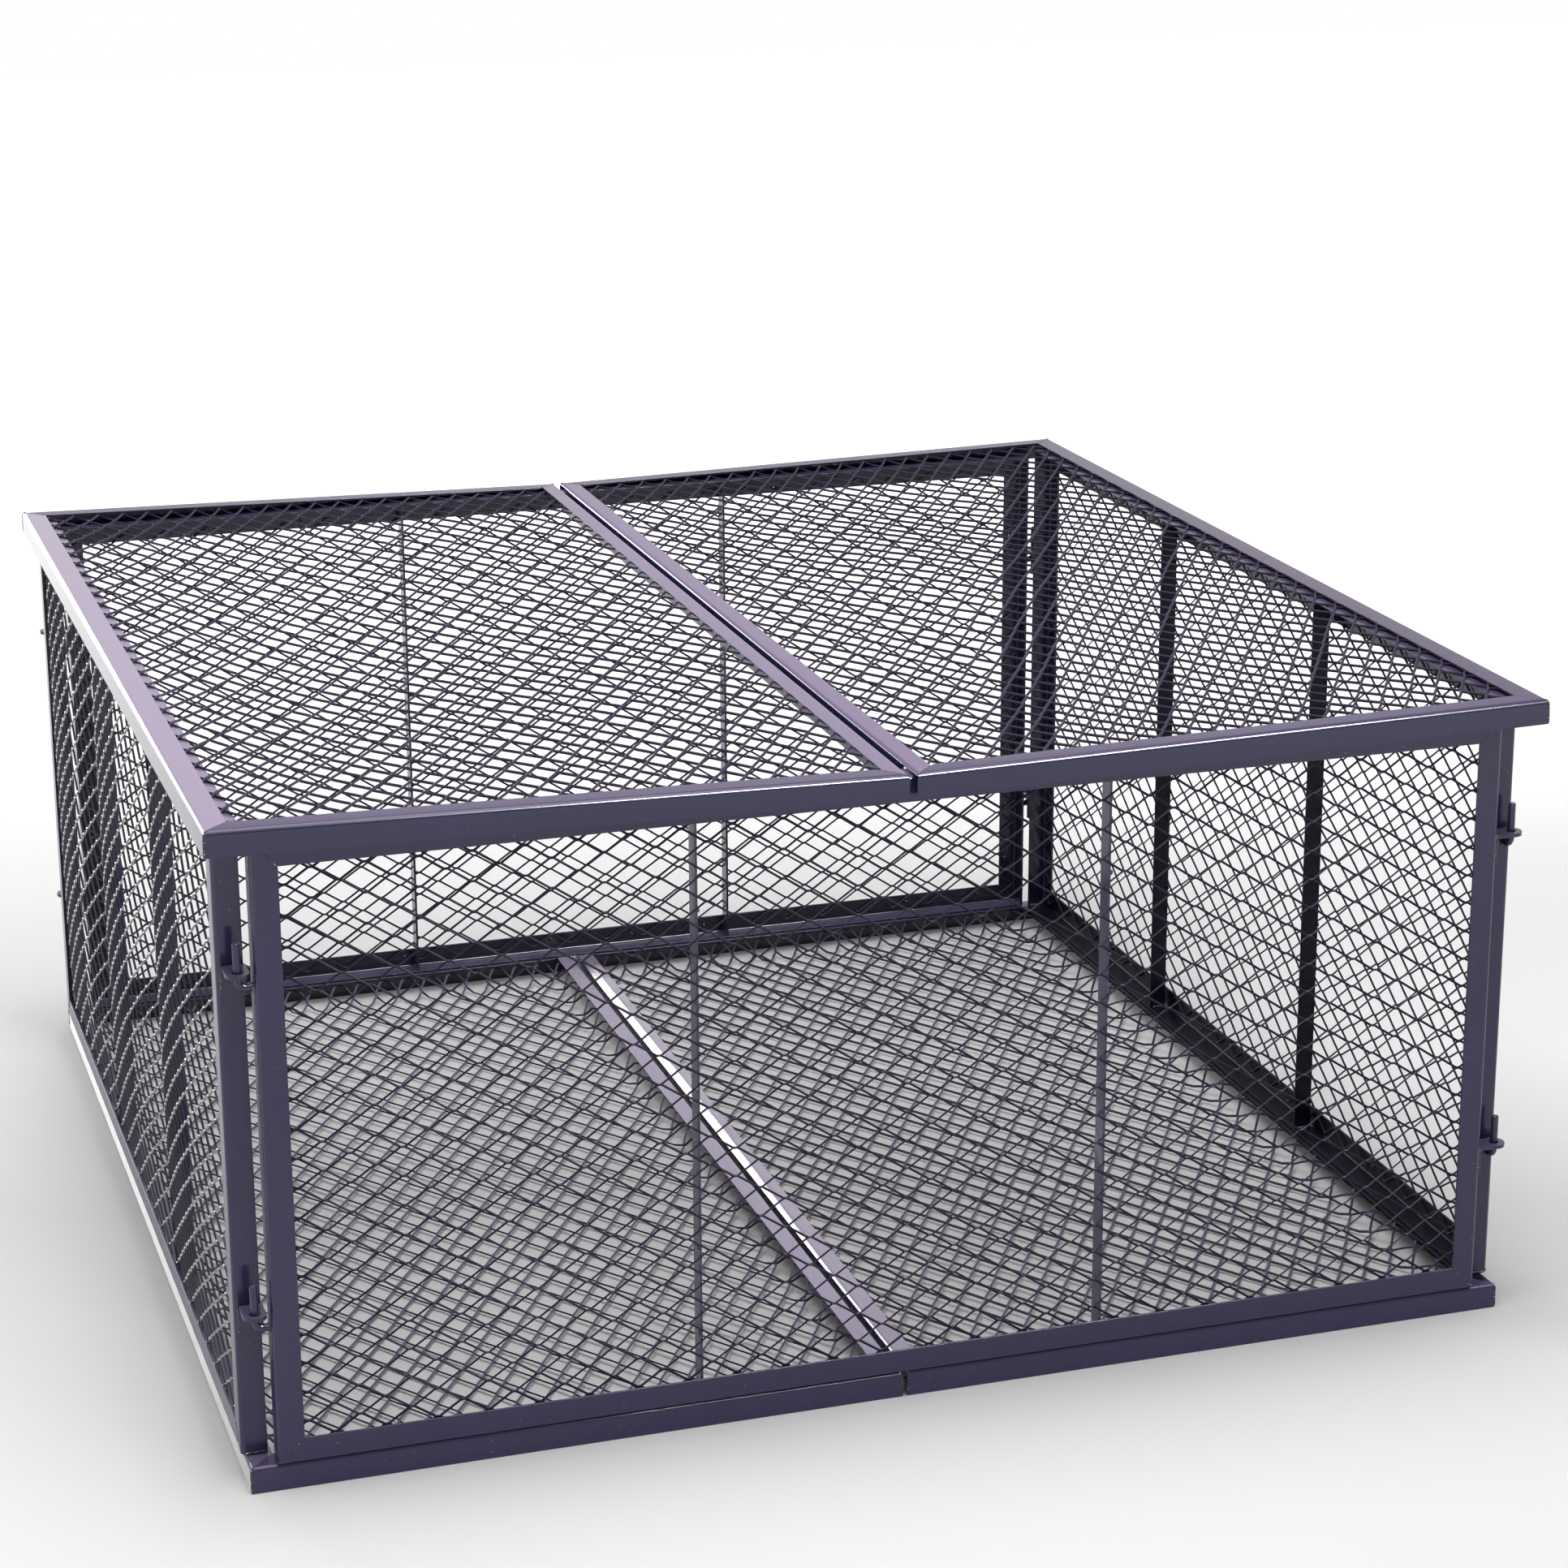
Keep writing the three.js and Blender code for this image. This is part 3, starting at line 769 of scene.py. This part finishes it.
def lid_net(name, side):
    span_u, span_v, window_u, window_v = cover_spans(LID_HALF, LID_GAP)

    def surface(u, v):
        """The nets' waves die away toward the frames."""
        a, b = shares(u, v, window_u, window_v)
        along = np.sin(math.pi * a) ** LID_POWERS[0]
        hold = along * np.sin(math.pi * b) ** LID_POWERS[1]
        if side < 0:
            sag = LEFT_SAG * np.sin(math.pi * b ** SAG_SKEW) * along
            return sag + hold * (LEFT_RIPPLE * rippled(LEFT_RIPPLE_ANGLES, a, b) + LEFT_SETTLE)
        out = math.pi * (RIGHT_WAVE_OUT[0] + RIGHT_WAVE_OUT[1] * b)
        wave = RIGHT_WAVE * np.cos(2 * math.pi * (a - RIGHT_CREST)) * np.sin(out)
        return hold * (RIGHT_SAG + wave) + hold * RIGHT_RIPPLE * rippled(RIGHT_RIPPLE_ANGLES, a, b)

    start = (LID_NET_START[0], LID_GAP / 2 + LID_NET_START[1])
    tilt_at = tilting(LID_NET_TILT, window_u, window_v, -side)
    corners, faces = net_arrays(span_u, span_v, start, surface, tilt_at, LID_NET_SEED + side, LID_NET_STOUT)
    u, v, height = corners.T
    placed = lid_place(side, v, u, -SHEET - LID_NET_DEPTH + height)
    add_net(name, name, placed, facing_up(faces, side), PAINT["lid_net_paint"])


def floor_net(name, side):
    span_u, span_v, window_u, window_v = cover_spans(FLOOR_HALF, FLOOR_GAP)

    def surface(u, v):
        """The net hangs from its frame and lies over the ground in low waves."""
        ends = np.minimum(u - window_u[0], window_u[1] - u)
        away = np.minimum(np.minimum(ends, window_v[1] - v), (v - window_v[0]) * CENTRE_STEEPER)
        a, b = shares(u, v, window_u, window_v)
        wave = FLOOR_WAVE * np.sin(FLOOR_WAVE_ANGLES[0] * a + 1) * np.sin(FLOOR_WAVE_ANGLES[1] * b)
        wave = wave + FLOOR_RIPPLE * rippled(FLOOR_RIPPLE_ANGLES, a, b)
        return -ease(away / FLOOR_HANG) * (FLOOR_NET_DROP - wave)

    start = (FLOOR_NET_START[0], FLOOR_GAP / 2 + FLOOR_NET_START[1])
    tilt_at = tilting(FLOOR_NET_TILT, window_u, window_v)
    corners, faces = net_arrays(span_u, span_v, start, surface, tilt_at, FLOOR_NET_SEED + side, FLOOR_NET_STOUT)
    u, v, height = corners.T
    placed = np.stack([side * v, u, FLOOR_TOP - SHEET - FLOOR_NET_DEPTH + height], 1)
    add_net(name, "floor", placed, facing_up(faces, side), PAINT["floor_net_paint"])


for word, side in SIDES:
    lid_net("lid_" + word, side)
for word, side in SIDES:
    floor_net("floor_" + word, side)


# ------------------------------------------------------------------ welds

class Beads:
    """Collects lumpy beads of weld and builds them as one piece."""

    def __init__(self, seed):
        self.rng = np.random.default_rng(seed)
        self.corners = []
        self.faces = []
        self.count = 0

    def add_rings(self, rings):
        """A closed skin over rows of rings, with a fan of faces at each end."""
        rows, sides = rings.shape[:2]
        at = self.count
        self.corners.append(rings.reshape(-1, 3))
        for row in range(rows - 1):
            for side in range(sides):
                other = (side + 1) % sides
                a, b = at + row * sides + side, at + row * sides + other
                c, d = a + sides, b + sides
                self.faces.append((a, b, d))
                self.faces.append((a, d, c))
        for side in range(1, sides - 1):
            last = at + (rows - 1) * sides
            self.faces.append((at, at + side + 1, at + side))
            self.faces.append((last, last + side, last + side + 1))
        self.count += rows * sides

    def bead(self, points, radius):
        """A bead along a path, with ripples, lumps and tapered ends."""
        points = np.asarray(points, float)
        legs = np.linalg.norm(np.diff(points, axis=0), axis=1)
        total = legs.sum()
        s = np.linspace(0, total, max(4, int(total / BEAD_STEP)) + 1)
        known = np.concatenate([[0], np.cumsum(legs)])
        path = np.stack([np.interp(s, known, points[:, k]) for k in range(3)], 1)
        run = unit_rows(np.gradient(path, axis=0))
        side = unit_rows(np.cross(run, ASKEW))
        up = np.cross(run, side)
        ripples = RIPPLE_HEIGHT * np.sin(2 * math.pi * s / RIPPLE + self.rng.uniform(0, 6))
        lumps = 1 + ripples + self.rng.normal(0, LUMPS, len(s))
        taper = np.sqrt(np.clip(np.minimum(s, total - s) / radius, THIN_END, 1))
        path = path + self.rng.normal(0, WANDER, path.shape)
        reach = (radius * lumps * taper)[:, None]
        rings = [path + (side * math.cos(angle) + up * math.sin(angle)) * reach for angle in BEAD_ANGLES]
        self.add_rings(np.stack(rings, 1))

    def tack(self, centre, radii):
        """A flat lump, where a tack weld holds a strand."""
        radii = np.array(radii) * self.rng.uniform(*TACK_SIZES, 3)
        rings = np.array([
            [(math.cos(angle) * math.cos(level), math.sin(angle) * math.cos(level), math.sin(level))
             for angle in BEAD_ANGLES]
            for level in np.linspace(-TACK_CAP, TACK_CAP, TACK_ROWS)])
        rings = rings * (1 + self.rng.normal(0, TACK_LUMPS, (TACK_ROWS, BEAD_SIDES, 1)))
        self.add_rings(np.array(centre) + rings * radii)

    def build(self, name, body, place):
        corners = place(np.concatenate(self.corners))
        obj = mesh_object(name, corners, self.faces, PAINT["weld_paint"], smooth=True)
        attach(obj, body)


def tack_places(low, high, margins):
    """Places of tack welds between two ends."""
    first, last, step = margins
    return np.arange(low + first, high - last, step)


def wall_welds(wall):
    """Welds of a wall, made on the front wall's place and turned to the wall's own."""
    turn = WALL_TURN[wall]
    beads = Beads(WALL_WELD_SEED + turn)
    draw = beads.rng
    left, right = WALL_SPAN
    bottom, top = WALL_BOTTOM, WALL_TOP[wall]
    face = -WALL_FACE
    for x, sx in ((left, 1), (right, -1)):
        for z, sz, sunk in ((bottom, 1, WALL_FOOT_SUNK), (top, -1, 0.0)):

            def corner(inset, depth, deeper=0.0):
                """A place so far in from a corner both ways, and so deep behind the wall's face."""
                return x + sx * inset, face + depth, z + sz * (inset + deeper)

            beads.bead([corner(*place) for place in FACE_PATH], FACE_BEAD)
            beads.bead([corner(*place, sunk) for place in CORNER_PATH], CORNER_BEAD)
            beads.bead([corner(*place) for place in INNER_PATH], WALL_INNER_BEAD)
    for height in EYE_HEIGHTS:
        for side in (-1, 1):
            y = min(face + EYE_DEPTH + side * (EYE_PLATE_WIDTH / 2 + EYE_BESIDE), face + EYE_LIMIT)
            beads.bead([(right + EYE_PROUD, y, height + end) for end in EYE_SPAN], EYE_BEAD)
        y, z = face + PIN_DEPTH, height - PIN_LEG_DROP
        beads.bead([(left - PIN_PROUD, y + PIN_RING * math.cos(angle), z + PIN_RING * math.sin(angle))
                    for angle in RING_ANGLES], PIN_BEAD)
    for number in range(1, WALL_BAYS):
        x = left + (right - left) * number / WALL_BAYS
        for z in (bottom + BAR_END, top - BAR_END):
            for side in (-1, 1):
                beads.bead([(x + side * BAR_SIDE, face + depth, z) for depth in BAR_DEPTHS], BAR_BEAD)
        for z in tack_places(bottom, top, BAR_TACKS):
            z = z + draw.uniform(*BAR_STRAY)
            beads.tack((x + draw.choice([-1, 1]), face + BAR_TACK_DEPTH, z), BAR_TACK)
    for x in tack_places(left, right, RAIL_TACKS):
        for z in (bottom + TACK_INSET, top - TACK_INSET):
            place = (x + draw.uniform(*RAIL_STRAY), face + TACK_DEPTH, z + draw.uniform(*RAIL_STRAY_UP))
            beads.tack(place, RAIL_TACK)
    for z in tack_places(bottom, top, UPRIGHT_TACKS):
        for x in (left + TACK_INSET, right - TACK_INSET):
            place = (x + draw.uniform(*UPRIGHT_STRAY), face + TACK_DEPTH, z + draw.uniform(*UPRIGHT_STRAY_UP))
            beads.tack(place, UPRIGHT_TACK)
    beads.build(wall + "_welds", wall, lambda corners: turned(corners, turn))


for wall in WALL_TURN:
    wall_welds(wall)


def cover_welds(name, body, side, half, gap, height, place, seed, sunk=0.0, notched=False):
    """Welds of a lid or floor half, in its own measures: out from the centre, along the depth, height over its top.
    The flange of a notched centre rail ends short of the front and back."""
    beads = Beads(seed + side)
    for out, turn, reach in ((half, -1, OUTER_MITRE), (gap / 2, 1, CENTRE_MITRE)):
        for end in (-1, 1):

            def corner(inset, level, deeper=0.0):
                """A place so far in from a corner both ways, and so high over the half's top."""
                return out + turn * inset, end * half - end * inset, level - deeper

            beads.bead([corner(*COVER_FACE_START, sunk), corner(reach, COVER_FACE_END, sunk)], FACE_BEAD)
            if notched and turn > 0:
                y = end * half - end * NOTCH_INSET
                beads.bead([(out + turn * inset, y, level) for inset, level in NOTCH_PATH], NOTCH_BEAD)
                continue
            beads.bead([corner(*COVER_CORNER_START, sunk), corner(*COVER_CORNER_BEND),
                        corner(*COVER_CORNER_END, height)], CORNER_BEAD)
            beads.bead([corner(*COVER_INNER_START), corner(*COVER_INNER_END, height)], COVER_INNER_BEAD)
    beads.build(name + "_welds", body, lambda corners: place(side, *corners.T))


for word, side in SIDES:
    cover_welds("lid_" + word, "lid_" + word, side, LID_HALF, LID_GAP, LID_HEIGHT, lid_place, LID_WELD_SEED,
                notched=True)
for word, side in SIDES:
    cover_welds("floor_" + word, "floor", side, FLOOR_HALF, FLOOR_GAP, FLOOR_TOP, floor_place, FLOOR_WELD_SEED,
                TRAY_SUNK)


# ------------------------------------------------------------------ camera, light and floor, in metres

# The camera was fitted to the corners in the photograph. The focal length is in pixels of its width
PHOTO_WIDTH = 1932
FOCAL_LENGTH = 4575.1
SENSOR_WIDTH = 36
CAMERA_PLACE = (-0.8890, -2.9878, 1.3087)
CAMERA_TURN = (72.896, 0.28, -17.838)

# Name, place, aim, size, power, and whether it lights the surfaces' own colour or only their sheen
SOFTBOXES = (
    ("key_softbox", (-0.25, -0.5, 3.2), (0, 0, 0), (2.6, 2.4), 86, True),
    ("glint_softbox", (0.85, -2.0, 2.1), (0.1, -0.5, 0.3), (1.1, 0.35), 170, False),
    ("back_softbox", (-1.3, 3.0, 0.95), (-0.2, 0, 0.2), (1.2, 0.9), 30, False),
    ("left_softbox", (-3.0, -0.4, 1.4), (0, 0, 0.3), (1.6, 1.6), 7, True),
)

# The world: a dome that grows brighter toward the back, with a bright band low behind the bin. The spans are
# parts of a heading's length, toward the back or up
DOME_SPAN = (-0.3, 0.9)
DOME_TONES = (0.30, 0.45)
BAND_BACK = (0.78, 0.93)
BAND_UP = (0.30, 0.42)
BAND_STRENGTH = 1.1

# The floor: its painted shade by the distance from the middle toward the back, a painted soft shadow under the bin
# by the distance out to the sides, and where it fades into the white background
TOWARD_BACK = (0.3063, 0.9519, 0)
TONE_SPAN = (-1.0, 1.5)
SHADE_TONES = ((-1.0, 0.93), (-0.7, 0.91), (-0.45, 0.86), (-0.13, 0.81), (0.25, 0.88), (0.6, 0.90), (1.0, 0.93))
GLOW_TONES = ((-1.0, 0.0), (-0.1, 0.0), (0.25, 0.09), (0.6, 0.05), (0.85, 0.10), (1.0, 0.17), (1.15, 0.24),
              (1.3, 0.27), (1.5, 0.32))
SHADOW_ROUNDING = 0.1
SHADOW_SPAN = (0.36, 0.62)
SHADOW_TONES = (0.72, 1.0)
FADE_SPAN = (1.2, 3.6)
FLOOR_ROUGHNESS = 0.9
FLOOR_SHEEN = 0.1
# How far the ground reaches from the middle, in millimetres
GROUND_REACH = 9000

camera = bpy.data.objects.new("camera", bpy.data.cameras.new("camera"))
bpy.context.scene.collection.objects.link(camera)
camera.data.sensor_width = SENSOR_WIDTH
camera.data.lens = FOCAL_LENGTH * SENSOR_WIDTH / PHOTO_WIDTH
camera.data.clip_end = 100
camera.location = CAMERA_PLACE
camera.rotation_euler = Euler([math.radians(turn) for turn in CAMERA_TURN], "XYZ")
bpy.context.scene.camera = camera
bpy.context.scene.view_settings.view_transform = "Standard"


def area_light(name, place, aim, size, power, diffuse):
    light = bpy.data.lights.new(name, "AREA")
    light.shape = "RECTANGLE"
    light.size, light.size_y = size
    light.energy = power
    obj = bpy.data.objects.new(name, light)
    obj.location = place
    obj.rotation_euler = (Vector(aim) - Vector(place)).to_track_quat("-Z", "Y").to_euler()
    obj.visible_camera = False
    obj.visible_diffuse = diffuse
    bpy.context.scene.collection.objects.link(obj)


for softbox in SOFTBOXES:
    area_light(*softbox)

world = bpy.data.worlds.new("studio")
bpy.context.scene.world = world
world.use_nodes = True
wt = world.node_tree
wt.nodes.clear()
world_out = wt.nodes.new("ShaderNodeOutputWorld")
sky = wt.nodes.new("ShaderNodeBackground")
sky.inputs["Color"].default_value = (1, 1, 1, 1)
wt.links.new(sky.outputs[0], world_out.inputs[0])
heading = axes_of(wt, wt.nodes.new("ShaderNodeTexCoord").outputs["Generated"])
behind = ranged(wt, heading["Y"], *BAND_BACK, smooth=True)
low = ranged(wt, heading["Z"], *BAND_UP, 1.0, 0.0, smooth=True)
band = maths(wt, "MULTIPLY", behind, low)
dome = ranged(wt, heading["Y"], *DOME_SPAN, *DOME_TONES)
light = maths(wt, "MULTIPLY_ADD", band, BAND_STRENGTH, dome)
# The camera sees a white background, and so do mirror and glass rays that go toward the band
from_camera, from_mirror = viewing_rays(wt)
seen = maths(wt, "MULTIPLY_ADD", from_mirror, band, from_camera, clamp=True)
wt.links.new(mixed(wt, "FLOAT", seen, light, 1.0), sky.inputs["Strength"])

floor_mat = bpy.data.materials.new("studio_floor")
floor_mat.use_nodes = True
ft = floor_mat.node_tree
floor_bsdf = ft.nodes["Principled BSDF"]
floor_bsdf.inputs["Roughness"].default_value = FLOOR_ROUGHNESS
floor_bsdf.inputs["Specular IOR Level"].default_value = FLOOR_SHEEN
floor_bsdf.inputs["Emission Color"].default_value = (1, 1, 1, 1)
spot = ft.nodes.new("ShaderNodeTexCoord").outputs["Object"]
toward_back = ranged(ft, vector_maths(ft, "DOT_PRODUCT", spot, TOWARD_BACK), *TONE_SPAN)


def tone_ramp(stops):
    """A grey by the distance toward the back."""
    ramp = ft.nodes.new("ShaderNodeValToRGB")
    elements = ramp.color_ramp.elements
    while len(elements) < len(stops):
        elements.new(0.5)
    for element, (place, tone) in zip(elements, stops):
        element.position = (place - TONE_SPAN[0]) / (TONE_SPAN[1] - TONE_SPAN[0])
        element.color = (tone, tone, tone, 1)
    ft.links.new(toward_back, ramp.inputs["Fac"])
    return ramp.outputs["Color"]


reach = axes_of(ft, spot)
widest = maths(ft, "SMOOTH_MAX", maths(ft, "ABSOLUTE", reach["X"]), maths(ft, "ABSOLUTE", reach["Y"]), SHADOW_ROUNDING)
shadow = ranged(ft, widest, *SHADOW_SPAN, *SHADOW_TONES, smooth=True)
ft.links.new(scaled(ft, tone_ramp(SHADE_TONES), shadow), floor_bsdf.inputs["Base Color"])
# The floor glows only for rays that look at it, so it doesn't light the bin
fade = ranged(ft, vector_maths(ft, "LENGTH", spot), *FADE_SPAN, smooth=True)
white = maths(ft, "ADD", fade, tone_ramp(GLOW_TONES), clamp=True)
from_camera, from_mirror = viewing_rays(ft)
watched = maths(ft, "ADD", from_mirror, from_camera, clamp=True)
ft.links.new(maths(ft, "MULTIPLY", white, watched), floor_bsdf.inputs["Emission Strength"])

ground = mesh_object("ground", GROUND_REACH * np.array([(-1, -1, 0), (1, -1, 0), (1, 1, 0), (-1, 1, 0)]),
                     [(0, 1, 2, 3)], floor_mat)
